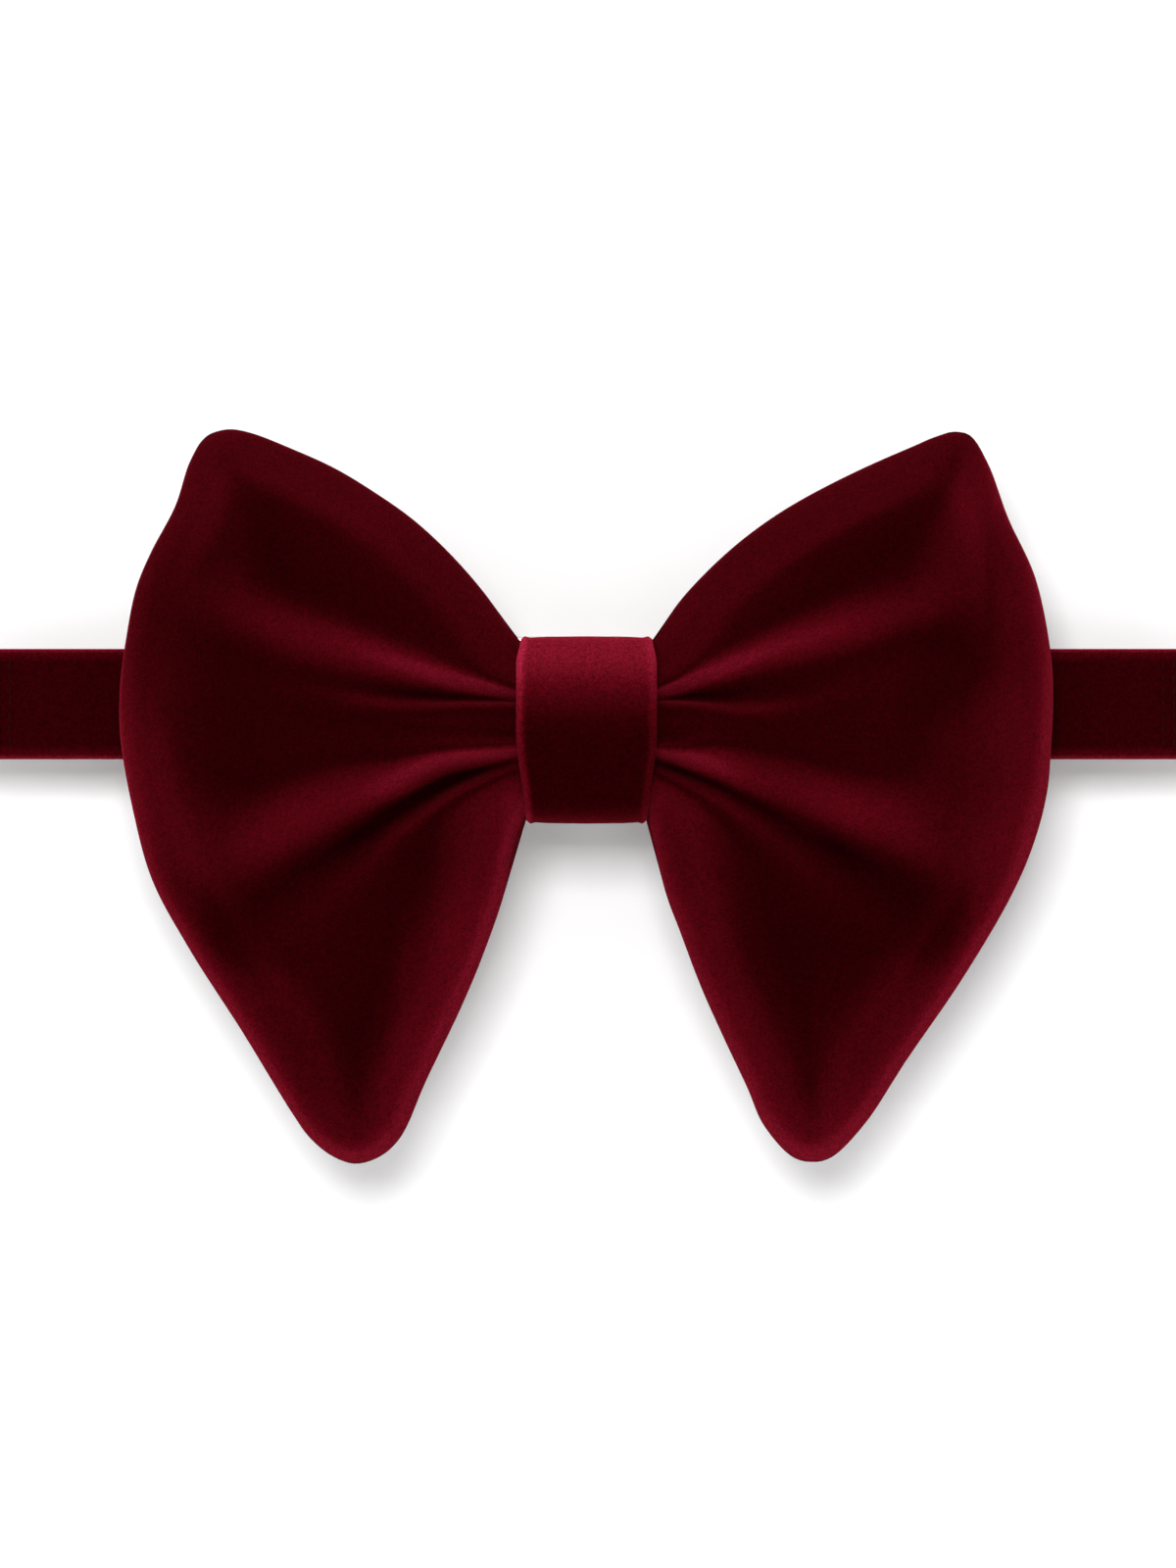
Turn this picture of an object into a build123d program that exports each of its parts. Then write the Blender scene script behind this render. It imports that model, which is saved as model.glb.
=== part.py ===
from build123d import *
import os

# Pre-tied velvet bow tie, upright as worn, in millimetres.
# The front faces -Y, the wings spread along X and +Z is up.
# The origin is the middle of the neck band's collar-side face, behind the knot.

# Neck band: one flattened loop, 19 mm wide, with the fastening halfway round its rear run.
BAND_WIDTH = 19.0
BAND_THICKNESS = 1.6
FRONT_HALF_LENGTH = 102.0
VELVET_PLY = 0.8
CANVAS_PLY = 0.3
TURNED_EDGE = 1.0
PLY_GAP = 0.1

# Wire hardware at the fastening.
WIRE_RADIUS = 0.9
FOLD_CLEARANCE = 0.2
FOLD_RADIUS = WIRE_RADIUS + FOLD_CLEARANCE + BAND_THICKNESS / 2
FRONT_RUN_Y = -BAND_THICKNESS / 2
HARDWARE_Y = 15.2
REAR_RUN_Y = HARDWARE_Y + FOLD_RADIUS
INNER_LAYER_Y = HARDWARE_Y - FOLD_RADIUS
RING_BAR_X = -16.0
RING_FAR_BAR_X = -4.0
HOOK_CROSSBAR_X = 2.4
HOOK_BAR_X = 8.0
WIRE_FRAME_HALF_HEIGHT = 11.1
WIRE_CORNER_RADIUS = 2.4

# Hook tongue: a bent strip that curls round the ring's far bar with room to kink.
TONGUE_WIDTH = 7.0
TONGUE_THICKNESS = 1.0
CURL_GAP = 3.2
CURL_CENTRE_X = -4.9
CURL_TIP_X = -1.0

# Slide adjuster: two bars outside the band, one bar inside it, a cheek at each end.
ADJUSTER_X = 60.0
ADJUSTER_BAR_RADIUS = 0.8
ADJUSTER_HALF_LENGTH = 7.0
ADJUSTER_BAR_CLEARANCE = 0.4
CHEEK_THICKNESS = 1.6
CHEEK_INNER_Z = 10.1
TAIL_RADIUS = ADJUSTER_BAR_RADIUS + PLY_GAP + BAND_THICKNESS / 2
INNER_LAYER_START_X = 12.0
INNER_LAYER_END_X = 44.0

# Knot: a tube of velvet over a stiffener, wrapped round the gathered waist and the band.
KNOT_HALF_WIDTH = 12.0
KNOT_TOP_Z = 11.2
KNOT_BOTTOM_Z = -20.3
KNOT_VELVET = 0.9
KNOT_STIFFENER = 0.4
KNOT_WALL = KNOT_VELVET + KNOT_STIFFENER
KNOT_BAND_CLEARANCE = 0.3
KNOT_REAR_Y = KNOT_BAND_CLEARANCE + KNOT_WALL
KNOT_FRONT_Y = -19.3
KNOT_FRONT_RADIUS = 4.0
KNOT_REAR_RADIUS = 1.8

# Waist: the wings' plies gathered inside the knot and bound with thread.
BINDING_THICKNESS = 0.8
BINDING_HALF_WIDTH = 1.5
WAIST_HALF_LENGTH = 12.5
WAIST_REAR_Y = -3.0

# Wings: a front and a back velvet panel over wadding, with canvas between.
WING_MID_Y = -9.8
WING_HALF_DEPTH = 7.0
CANVAS_HALF_THICKNESS = 0.3
PANEL_THICKNESS = 0.8
WING_CENTRE = (42.0, -8.0)
# Share of the wing's size left at each share of its half depth, from the seam out.
PILLOW_LEVELS = [(0.0, 1.0), (0.5, 0.97), (0.86, 0.92), (1.0, 0.86)]
PANEL_SCALE_STEP = 0.02
CANVAS_SCALE = 0.96

# Wing edges as (distance from the middle, height), from the knot's top round to its bottom.
LEFT_WING_EDGE = [
    (12.0, 11.0), (17.7, 19.2), (23.8, 26.1), (29.8, 31.6), (35.7, 35.8), (42.9, 40.2),
    (50.1, 43.5), (57.9, 46.5), (61.6, 47.0), (65.3, 45.7), (68.0, 41.5), (70.5, 33.9),
    (74.7, 25.9), (77.2, 19.8), (78.9, 11.4), (80.0, 2.4), (79.9, -6.0), (77.7, -18.6),
    (74.5, -30.2), (68.1, -42.1), (59.2, -56.0), (50.3, -70.5), (47.5, -74.4),
    (43.6, -77.6), (39.5, -78.9), (35.3, -77.6), (31.9, -74.4), (27.5, -64.7),
    (21.4, -51.9), (18.0, -43.8), (14.1, -32.6), (12.0, -22.0),
]
RIGHT_WING_EDGE = [
    (12.0, 11.4), (15.4, 16.8), (20.2, 22.2), (26.1, 27.6), (32.2, 32.1), (38.2, 35.7),
    (47.1, 40.2), (56.2, 44.2), (59.7, 45.7), (63.1, 46.6), (65.8, 45.9), (68.8, 41.2),
    (72.3, 31.8), (76.9, 21.7), (79.5, 9.3), (80.0, 2.4), (79.7, -6.6), (78.9, -15.6),
    (76.5, -24.5), (72.7, -33.2), (64.3, -47.4), (54.9, -61.1), (47.6, -72.2),
    (42.0, -77.8), (39.0, -78.6), (35.4, -77.8), (30.3, -72.2), (27.6, -66.0),
    (24.2, -58.8), (19.7, -48.8), (15.9, -38.8), (12.0, -26.0),
]

# Thread.
STITCH_LENGTH = 1.6
STITCH_THICKNESS = 0.3
STITCH_PITCH = 2.4
STITCH_ROW_GAP = 3.0


def save(node, shape):
    """Writes one node's STEP file."""
    export_step(shape, f"parts/{node}.step")


def block(x_range, y_range, z_range):
    """A box given by its low and high coordinate along each axis."""
    ranges = (x_range, y_range, z_range)
    sizes = [high - low for low, high in ranges]
    centre = [(high + low) / 2 for low, high in ranges]
    return Pos(*centre) * Box(*sizes)


def strip(points, radii, width=BAND_WIDTH, thickness=BAND_THICKNESS):
    """A flat strip on edge that follows corner points (x, y), each corner rounded."""
    path = FilletPolyline(*points, radius=radii)
    start = Plane(origin=path @ 0, x_dir=(0, 0, 1), z_dir=path % 0)
    return sweep(start * Rectangle(width, thickness), path=path)


def stitches(x_positions, y_centre, half_width):
    """Rows of short stitches that run up and down across a band, one row per x."""
    count = int(2 * half_width / STITCH_PITCH)
    first = -(count - 1) * STITCH_PITCH / 2
    stitch = Box(STITCH_THICKNESS, STITCH_THICKNESS, STITCH_LENGTH)
    places = [(x, first + row * STITCH_PITCH) for x in x_positions for row in range(count)]
    return Compound(children=[Pos(x, y_centre, z) * stitch for x, z in places])


# ---------------------------------------------------------------- neck band

def front_band():
    """The velvet front run: an outer ply with turned edges over canvas and a lining."""
    run = (-FRONT_HALF_LENGTH, FRONT_HALF_LENGTH)
    half = BAND_WIDTH / 2
    inner = half - TURNED_EDGE
    velvet_back = -BAND_THICKNESS + VELVET_PLY
    canvas_back = velvet_back + CANVAS_PLY
    velvet = block(run, (-BAND_THICKNESS, 0.0), (-half, half))
    velvet -= block(run, (velvet_back, 0.0), (-inner, inner))
    save("front_band_velvet", velvet)
    save("front_band_canvas", block(run, (velvet_back, canvas_back), (-inner, inner)))
    save("front_band_lining", block(run, (canvas_back, 0.0), (-inner, inner)))


def rear_band_start(side):
    """Points and radii of a rear band from the end of the front run round its side bend."""
    depth = REAR_RUN_Y - FRONT_RUN_Y
    bend_x = side * (FRONT_HALF_LENGTH + depth / 2)
    radius = depth / 2 - 0.02
    points = [(side * FRONT_HALF_LENGTH, FRONT_RUN_Y), (bend_x, FRONT_RUN_Y), (bend_x, REAR_RUN_Y)]
    return points, [radius, radius]


def left_rear_band():
    """Satin band from the left bend to the eye ring, folded round its bar and turned back."""
    points, radii = rear_band_start(-1)
    turn_x = RING_BAR_X + FOLD_RADIUS
    tail_y = REAR_RUN_Y - BAND_THICKNESS - PLY_GAP
    points += [(turn_x, REAR_RUN_Y), (turn_x, INNER_LAYER_Y), (RING_BAR_X - 1.0, INNER_LAYER_Y)]
    points += [(RING_BAR_X - 7.0, tail_y), (RING_BAR_X - 20.0, tail_y)]
    radii += [FOLD_RADIUS - 0.02, FOLD_RADIUS - 0.02, 1.5, 3.0]
    save("left_rear_band", strip(points, radii))


def right_rear_band():
    """Satin band from the right bend through the adjuster and round the hook's bar."""
    points, radii = rear_band_start(1)
    turn_x = HOOK_BAR_X - FOLD_RADIUS
    points += [(turn_x, REAR_RUN_Y), (turn_x, INNER_LAYER_Y), (INNER_LAYER_START_X, INNER_LAYER_Y)]
    radii += [FOLD_RADIUS - 0.02, FOLD_RADIUS - 0.02]
    save("right_rear_band", strip(points, radii))


def inner_layer():
    """The stretch of satin band between the hook and the adjuster's tail loop."""
    half = BAND_THICKNESS / 2
    span = (INNER_LAYER_START_X, INNER_LAYER_END_X)
    layer = block(span, (INNER_LAYER_Y - half, INNER_LAYER_Y + half), (-BAND_WIDTH / 2, BAND_WIDTH / 2))
    save("band_inner_layer", layer)


def band_stitches():
    """Stitch rows where the front run meets the rear bands, and at the eye ring's fold."""
    front_y = -BAND_THICKNESS - STITCH_THICKNESS / 2
    joins = [side * (FRONT_HALF_LENGTH - inset) for side in (-1, 1) for inset in (0.8, 2.6)]
    save("join_stitches", stitches(joins, front_y, BAND_WIDTH / 2 - 1.0))
    fold_y = REAR_RUN_Y + BAND_THICKNESS / 2 + STITCH_THICKNESS / 2
    rows = [RING_BAR_X - 9.0 - row * STITCH_ROW_GAP for row in range(4)]
    save("ring_fold_stitches", stitches(rows, fold_y, BAND_WIDTH / 2 - 1.0))


# ---------------------------------------------------------------- hardware

def wire_frame(x_low, x_high):
    """A rounded rectangle of wire that stands in the X-Z plane."""
    width = x_high - x_low
    height = 2 * WIRE_FRAME_HALF_HEIGHT
    corner = WIRE_CORNER_RADIUS
    outline = RectangleRounded(width, height, corner).wire()
    centre = Plane(origin=((x_low + x_high) / 2, HARDWARE_Y, 0), x_dir=(1, 0, 0), z_dir=(0, -1, 0))
    path = centre * outline
    start = Plane(origin=path @ 0, z_dir=path % 0)
    return sweep(start * Circle(WIRE_RADIUS), path=path)


def eye_ring():
    """The rectangular eye that the left rear band is folded through."""
    save("eye_ring", wire_frame(RING_BAR_X, RING_FAR_BAR_X))


def hook():
    """The hook: a wire frame on the right band and a tongue curled round the ring's bar."""
    reach = CURL_GAP / 2 + TONGUE_THICKNESS / 2
    outer_y = HARDWARE_Y + reach
    inner_y = HARDWARE_Y - reach
    curl_x = CURL_CENTRE_X - reach
    points = [
        (HOOK_CROSSBAR_X, HARDWARE_Y), (HOOK_CROSSBAR_X - 2.6, outer_y),
        (curl_x, outer_y), (curl_x, inner_y), (CURL_TIP_X, inner_y),
    ]
    radii = [1.0, reach - 0.02, reach - 0.02]
    tongue = strip(points, radii, TONGUE_WIDTH, TONGUE_THICKNESS)
    save("hook", wire_frame(HOOK_CROSSBAR_X, HOOK_BAR_X) + tongue)


def slide_adjuster():
    """The adjuster: outer bars behind the band, a centre bar before it, and two cheeks."""
    outer_y = REAR_RUN_Y + BAND_THICKNESS / 2 + ADJUSTER_BAR_CLEARANCE + ADJUSTER_BAR_RADIUS
    left_x = ADJUSTER_X - ADJUSTER_HALF_LENGTH
    right_x = ADJUSTER_X + ADJUSTER_HALF_LENGTH
    length = 2 * (CHEEK_INNER_Z + CHEEK_THICKNESS / 2)
    bar = Cylinder(ADJUSTER_BAR_RADIUS, length)
    body = Pos(left_x, outer_y, 0) * bar + Pos(right_x, outer_y, 0) * bar
    body += Pos(ADJUSTER_X, INNER_LAYER_Y, 0) * bar
    corner = ADJUSTER_BAR_RADIUS + 0.2
    profile = Polygon(
        (left_x, outer_y + corner), (left_x - corner, outer_y), (left_x, outer_y - corner),
        (ADJUSTER_X - corner, INNER_LAYER_Y - corner), (ADJUSTER_X + corner, INNER_LAYER_Y - corner),
        (right_x, outer_y - corner), (right_x + corner, outer_y), (right_x, outer_y + corner),
        align=None,
    )
    for low_z in (CHEEK_INNER_Z, -CHEEK_INNER_Z - CHEEK_THICKNESS):
        body += Pos(0, 0, low_z) * extrude(profile, CHEEK_THICKNESS)
    save("slide_adjuster", body)


def tail_loop():
    """The end of the band, looped round the adjuster's centre bar and turned back."""
    outer_y = INNER_LAYER_Y + TAIL_RADIUS
    tail_y = INNER_LAYER_Y - TAIL_RADIUS
    turn_x = ADJUSTER_X + TAIL_RADIUS
    points = [
        (INNER_LAYER_END_X, INNER_LAYER_Y), (ADJUSTER_X - 8.0, INNER_LAYER_Y),
        (ADJUSTER_X - 3.0, outer_y), (turn_x, outer_y), (turn_x, tail_y),
        (INNER_LAYER_END_X + 1.5, tail_y),
    ]
    radii = [4.0, 4.0, TAIL_RADIUS - 0.02, TAIL_RADIUS - 0.02]
    save("band_tail_loop", strip(points, radii))
    stitch_y = tail_y - BAND_THICKNESS / 2 - STITCH_THICKNESS / 2
    rows = [INNER_LAYER_END_X + 3.0, INNER_LAYER_END_X + 3.0 + STITCH_ROW_GAP]
    save("tail_stitches", stitches(rows, stitch_y, BAND_WIDTH / 2 - 1.0))


# ---------------------------------------------------------------- knot and waist

def rounded_bar(half_length, y_range, z_range, front_radius, rear_radius):
    """A bar along X whose long edges are rounded, more at the front than at the rear."""
    bar = block((-half_length, half_length), y_range, z_range)
    bar = fillet(bar.edges().filter_by(Axis.X).group_by(Axis.Y)[0], front_radius)
    return fillet(bar.edges().filter_by(Axis.X).group_by(Axis.Y)[-1], rear_radius)


def knot_shell(outer, wall):
    """A tube of the given wall thickness whose outside lies a distance in from the knot's."""
    def bar(depth, half_length):
        y_range = (KNOT_FRONT_Y + depth, KNOT_REAR_Y - depth)
        z_range = (KNOT_BOTTOM_Z + depth, KNOT_TOP_Z - depth)
        return rounded_bar(half_length, y_range, z_range, KNOT_FRONT_RADIUS - depth, KNOT_REAR_RADIUS - depth)
    return bar(outer, KNOT_HALF_WIDTH) - bar(outer + wall, 2 * KNOT_HALF_WIDTH)


def knot():
    """The knot's velvet, its stiffener and the hand stitches that close it behind."""
    save("knot_velvet", knot_shell(0.0, KNOT_VELVET))
    save("knot_stiffener", knot_shell(KNOT_VELVET, KNOT_STIFFENER))
    count = 9
    stitch = Rot(0, 30, 0) * Box(1.4 * STITCH_LENGTH, STITCH_THICKNESS, STITCH_THICKNESS)
    y_centre = KNOT_REAR_Y + STITCH_THICKNESS / 2
    middle = (KNOT_TOP_Z + KNOT_BOTTOM_Z) / 2
    heights = [middle + (row - (count - 1) / 2) * STITCH_PITCH for row in range(count)]
    save("knot_stitches", Compound(children=[Pos(0, y_centre, z) * stitch for z in heights]))


def waist_bar(half_length, depth):
    """The solid inside the knot's stiffener, in front of the band, less a depth all round."""
    y_range = (KNOT_FRONT_Y + KNOT_WALL + depth, WAIST_REAR_Y + BINDING_THICKNESS - depth)
    z_range = (KNOT_BOTTOM_Z + KNOT_WALL + depth, KNOT_TOP_Z - KNOT_WALL - depth)
    radius = KNOT_FRONT_RADIUS - KNOT_WALL + 0.4 - depth
    return rounded_bar(half_length, y_range, z_range, radius, radius)


def binding_thread():
    """The turns of thread that hold the waist gathered."""
    outer = waist_bar(BINDING_HALF_WIDTH, 0.0)
    save("waist_binding", outer - waist_bar(2 * BINDING_HALF_WIDTH, BINDING_THICKNESS))


# ---------------------------------------------------------------- wings

def scaled_edge(edge, side, share):
    """A wing's edge shrunk about the wing's centre, as (x, z) corners."""
    centre_x, centre_z = WING_CENTRE
    return [
        (side * (centre_x + (x - centre_x) * share), centre_z + (z - centre_z) * share)
        for x, z in edge
    ]


def pillow(edge, side, direction, shrink, depth):
    """Half of a wing: the edge at the seam plane, drawn in towards the face."""
    rings = []
    for height, share in PILLOW_LEVELS:
        y = WING_MID_Y + direction * height * depth
        corners = [(x, y, z) for x, z in scaled_edge(edge, side, share - shrink)]
        rings.append(Wire.make_polygon([Vector(*corner) for corner in corners], close=True))
    slices = [Solid.make_loft(pair, ruled=True) for pair in zip(rings, rings[1:])]
    return slices[0].fuse(*slices[1:])


def waist_part(direction):
    """The front or back half of the gathered waist, clear of the canvas."""
    near = WING_MID_Y + direction * CANVAS_HALF_THICKNESS
    far = WING_MID_Y + direction * 2 * WING_HALF_DEPTH
    half = block((-20, 20), sorted((near, far)), (KNOT_BOTTOM_Z, KNOT_TOP_Z))
    return waist_bar(WAIST_HALF_LENGTH, BINDING_THICKNESS) & half


def canvas_waist():
    """The canvas strip that runs through the knot from wing to wing."""
    y_range = (WING_MID_Y - CANVAS_HALF_THICKNESS, WING_MID_Y + CANVAS_HALF_THICKNESS)
    low = KNOT_BOTTOM_Z + KNOT_WALL + BINDING_THICKNESS
    high = KNOT_TOP_Z - KNOT_WALL - BINDING_THICKNESS
    return block((-WAIST_HALF_LENGTH - 1.5, WAIST_HALF_LENGTH + 1.5), y_range, (low, high))


def wings():
    """Both wings: a velvet panel front and back, four waddings and the canvas."""
    sides = {"left": (-1, LEFT_WING_EDGE), "right": (1, RIGHT_WING_EDGE)}
    for face, direction in (("front", -1), ("back", 1)):
        panel = waist_part(direction)
        near = WING_MID_Y + direction * CANVAS_HALF_THICKNESS
        far = WING_MID_Y + direction * 2 * WING_HALF_DEPTH
        clear_of_canvas = block((-100, 100), sorted((near, far)), (-100, 100))
        for name, (side, edge) in sides.items():
            outer = pillow(edge, side, direction, 0.0, WING_HALF_DEPTH)
            inner = pillow(edge, side, direction, PANEL_SCALE_STEP, WING_HALF_DEPTH - PANEL_THICKNESS)
            panel += outer - inner
            save(f"{name}_{face}_wadding", inner & clear_of_canvas)
        save(f"bow_{face}_panel", panel - canvas_waist())
    canvas = canvas_waist()
    for side, edge in sides.values():
        corners = scaled_edge(edge, side, CANVAS_SCALE)
        front_y = WING_MID_Y - CANVAS_HALF_THICKNESS
        wire = Wire.make_polygon([Vector(x, front_y, z) for x, z in corners], close=True)
        canvas += extrude(Face(wire), amount=2 * CANVAS_HALF_THICKNESS, dir=(0, 1, 0))
    save("bow_canvas", canvas)


os.makedirs("parts", exist_ok=True)
front_band()
left_rear_band()
right_rear_band()
inner_layer()
band_stitches()
eye_ring()
hook()
slide_adjuster()
tail_loop()
knot()
binding_thread()
wings()
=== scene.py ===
"""Pre-tied velvet bow tie: the visual model, its materials, the studio and the camera.

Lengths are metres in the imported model's frame: the front faces -Y, the wings spread along X
and +Z is up. Helper names that end in _mm take millimetres, because cloth is cut in them.
"""
import math

import bmesh
import bpy
import numpy as np
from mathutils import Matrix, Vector


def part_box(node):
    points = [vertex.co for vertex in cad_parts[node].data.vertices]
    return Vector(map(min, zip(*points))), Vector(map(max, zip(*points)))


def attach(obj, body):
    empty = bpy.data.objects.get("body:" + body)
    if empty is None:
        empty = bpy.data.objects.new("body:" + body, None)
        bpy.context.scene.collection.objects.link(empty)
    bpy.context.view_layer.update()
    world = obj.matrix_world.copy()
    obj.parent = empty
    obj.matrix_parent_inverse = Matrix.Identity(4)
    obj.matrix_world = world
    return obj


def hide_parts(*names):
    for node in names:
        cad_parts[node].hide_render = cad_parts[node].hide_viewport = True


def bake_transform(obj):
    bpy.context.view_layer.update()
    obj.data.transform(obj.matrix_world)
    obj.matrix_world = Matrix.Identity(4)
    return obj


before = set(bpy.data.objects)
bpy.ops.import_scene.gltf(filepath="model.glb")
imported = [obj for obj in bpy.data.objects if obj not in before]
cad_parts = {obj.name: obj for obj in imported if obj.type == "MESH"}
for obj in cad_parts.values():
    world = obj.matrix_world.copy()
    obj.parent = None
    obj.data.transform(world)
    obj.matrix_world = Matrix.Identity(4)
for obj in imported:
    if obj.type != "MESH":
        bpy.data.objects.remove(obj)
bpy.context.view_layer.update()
MM = 0.001

# ---------------------------------------------------------------- driving sizes, in mm

WING_SEAM_Y = -9.8
WING_HALF_DEPTH = 7.0
FRONT_FULLNESS = 6.4
BACK_FULLNESS = 6.1
RIM_ROLL = 15.0
THROAT_X = 9.2
THROAT_TOP = 8.6
THROAT_BOTTOM = -17.4

FRONT_VELVET = 1.0
BACK_VELVET = 0.9
WADDING_INSET = 1.7
WADDING_ROOT_X = 13.2
LEAST_WADDING = 0.5
CANVAS_INSET = 2.6
CANVAS_HALF_THICKNESS = 0.28
CANVAS_GAP = 0.35

KNOT_WALL = 1.0
KNOT_CROWN = 0.3
KNOT_STIFFENER_WALL = 0.35
KNOT_STIFFENER_MARGIN = 1.3
BINDING_RADIUS = 0.32
BINDING_PITCH = 0.62

BAND_WIDTH = 19.0
BAND_THICKNESS = 1.6
TURNED_EDGE = 1.0
LINING_RECESS = 0.82
FRONT_HALF_LENGTH = 102.0
HARDWARE_Y = 15.2
FOLD_RADIUS = 1.9
RING_BAR_X = -16.0
HOOK_BAR_X = 8.0
ADJUSTER_X = 60.0
TAIL_RADIUS = 1.7
REAR_RUN_Y = HARDWARE_Y + FOLD_RADIUS
FOLDED_END_Y = REAR_RUN_Y - 1.7
INNER_LAYER_Y = HARDWARE_Y - FOLD_RADIUS
INNER_LAYER_X = (12.0, 44.0)

STITCH_PITCH = 2.2
STITCH_LENGTH = 1.6
STITCH_MARGIN = 1.2
THREAD_RADIUS = 0.2
CLOSING_STITCH_LENGTH = 2.2

# Each wing's free edge, from the knot's top corner round to its bottom corner: distance from the
# middle and height.
LEFT_WING_EDGE = [
    (10.2, 9.0), (12.0, 11.2), (17.7, 19.2), (23.8, 26.1), (29.8, 31.6), (35.7, 35.8), (42.9, 40.2),
    (50.1, 43.5), (57.9, 46.5), (61.6, 47.0), (65.3, 45.7), (68.0, 41.5), (70.5, 33.9),
    (74.7, 25.9), (77.2, 19.8), (78.9, 11.4), (80.0, 2.4), (79.9, -6.0), (77.7, -18.6),
    (74.5, -30.2), (68.1, -42.1), (59.2, -56.0), (50.3, -70.5), (47.5, -74.4),
    (43.6, -77.6), (39.5, -78.9), (35.3, -77.6), (31.9, -74.4), (27.5, -64.7),
    (21.4, -51.9), (18.0, -43.8), (14.1, -32.6), (12.4, -24.8),
    (11.3, -21.3), (10.3, -19.2), (9.4, -17.9),
]
RIGHT_WING_EDGE = [
    (10.2, 9.0), (12.0, 11.4), (15.4, 16.8), (20.2, 22.2), (26.1, 27.6), (32.2, 32.1), (38.2, 35.7),
    (47.1, 40.2), (56.2, 44.2), (59.7, 45.7), (63.1, 46.6), (65.8, 45.9), (68.8, 41.2),
    (72.3, 31.8), (76.9, 21.7), (79.5, 9.3), (80.0, 2.4), (79.7, -6.6), (78.9, -15.6),
    (76.5, -24.5), (72.7, -33.2), (64.3, -47.4), (54.9, -61.1), (47.6, -72.2),
    (42.0, -77.8), (39.0, -78.6), (35.4, -77.8), (30.3, -72.2), (27.6, -66.0),
    (24.2, -58.8), (19.7, -48.8), (15.9, -38.8), (13.6, -32.6), (11.6, -24.3),
    (10.9, -21.2), (10.2, -19.2), (9.4, -17.9),
]

# The folds that run out from the knot. Each row is the distance from the middle, the height there,
# how soft the turn is and how deep. Going down the wing, the upper lobe slopes down into a valley
# at its flank, the middle pleat's lip stands up out of that valley, the pleat drops away into a
# second valley at its own flank, and the lower lobe rises out of that one. The swell is a soft
# bulge further out: distance, height, radius and rise.
LEFT_FOLDS = {
    "swell": (62, -6, 14, 0.8),
    "upper_flank": [
        (9, 0.9, 0.7, 3.4), (14, 1.7, 1.0, 4.0), (20, 3.2, 1.5, 4.4), (30, 6.0, 2.7, 4.6),
        (42, 10.0, 4.0, 4.4), (54, 13.6, 5.2, 4.2), (64, 16.2, 7.0, 2.4), (74, 18.0, 9.0, 0.6),
    ],
    "pleat_lip": [
        (9, 0.1, 0.35, 2.8), (20, 0.1, 0.40, 2.7), (28, 0.0, 0.6, 2.6), (36, 0.4, 1.1, 2.1),
        (46, 1.8, 2.4, 1.3), (58, 4.0, 4.0, 0.4),
    ],
    "lower_flank": [
        (9, -8.2, 0.7, 3.0), (15, -9.2, 1.0, 3.6), (24, -10.9, 1.7, 4.8), (33, -14.4, 3.0, 3.9),
        (42, -17.8, 4.7, 3.5), (54, -22.8, 5.5, 3.2), (66, -27.5, 7.0, 1.6),
    ],
    "lower_rise": [
        (9, -9.6, 0.7, 2.6), (15, -11.4, 1.0, 3.4), (24, -15.4, 1.3, 5.0), (31, -20.0, 2.6, 4.2),
        (38, -26.2, 4.2, 3.4), (46, -33.0, 5.5, 2.8), (56, -40.0, 7.0, 2.5), (66, -46.0, 8.0, 1.2),
    ],
}
RIGHT_FOLDS = {
    "upper_flank": [
        (9, 0.9, 0.7, 3.4), (14, 2.1, 1.1, 4.0), (20, 4.6, 2.0, 4.6), (32, 9.2, 3.2, 4.6),
        (44, 12.8, 4.2, 4.6), (56, 15.6, 5.2, 3.6), (68, 18.0, 8.0, 1.0),
    ],
    "pleat_lip": [
        (9, 0.4, 0.35, 2.8), (18, 0.1, 0.40, 2.8), (26, -0.6, 0.8, 2.1), (34, -0.4, 1.8, 1.4),
        (44, 2.4, 3.2, 1.0), (56, 5.0, 4.4, 0.3),
    ],
    "lower_flank": [
        (9, -8.2, 0.7, 3.0), (15, -9.5, 0.9, 3.6), (22, -11.4, 2.5, 3.5), (32, -15.6, 4.6, 3.3),
        (44, -19.4, 4.3, 3.7), (54, -22.4, 5.0, 2.9), (66, -28.0, 7.0, 1.2),
    ],
    "swell": (57, 0, 12, 1.8),
    "lower_rise": [
        (9, -10.0, 0.7, 2.8), (15, -12.2, 1.0, 3.6), (22, -15.6, 1.8, 4.2), (32, -22.0, 3.6, 3.8),
        (44, -31.5, 6.0, 3.4), (55, -40.0, 7.5, 2.5), (68, -47.0, 8.0, 1.0),
    ],
}


# ---------------------------------------------------------------- mesh helpers

def face_outwards(mesh, weld):
    """Turns a closed mesh's faces outwards, once points that lie on each other are joined if asked."""
    same_place = 1e-7
    work = bmesh.new()
    work.from_mesh(mesh)
    if weld:
        bmesh.ops.remove_doubles(work, verts=work.verts, dist=same_place)
    bmesh.ops.recalc_face_normals(work, faces=work.faces)
    work.to_mesh(mesh)
    work.free()


def make_mesh(name, points_mm, faces, material, smooth=True, weld=False):
    """A mesh object from points in millimetres."""
    mesh = bpy.data.meshes.new(name)
    mesh.from_pydata((np.asarray(points_mm) * MM).tolist(), [], [list(map(int, f)) for f in faces])
    mesh.validate()
    face_outwards(mesh, weld)
    mesh.update()
    mesh.polygons.foreach_set("use_smooth", [smooth] * len(mesh.polygons))
    mesh.materials.append(material)
    obj = bpy.data.objects.new(name, mesh)
    bpy.context.scene.collection.objects.link(obj)
    return obj


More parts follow.
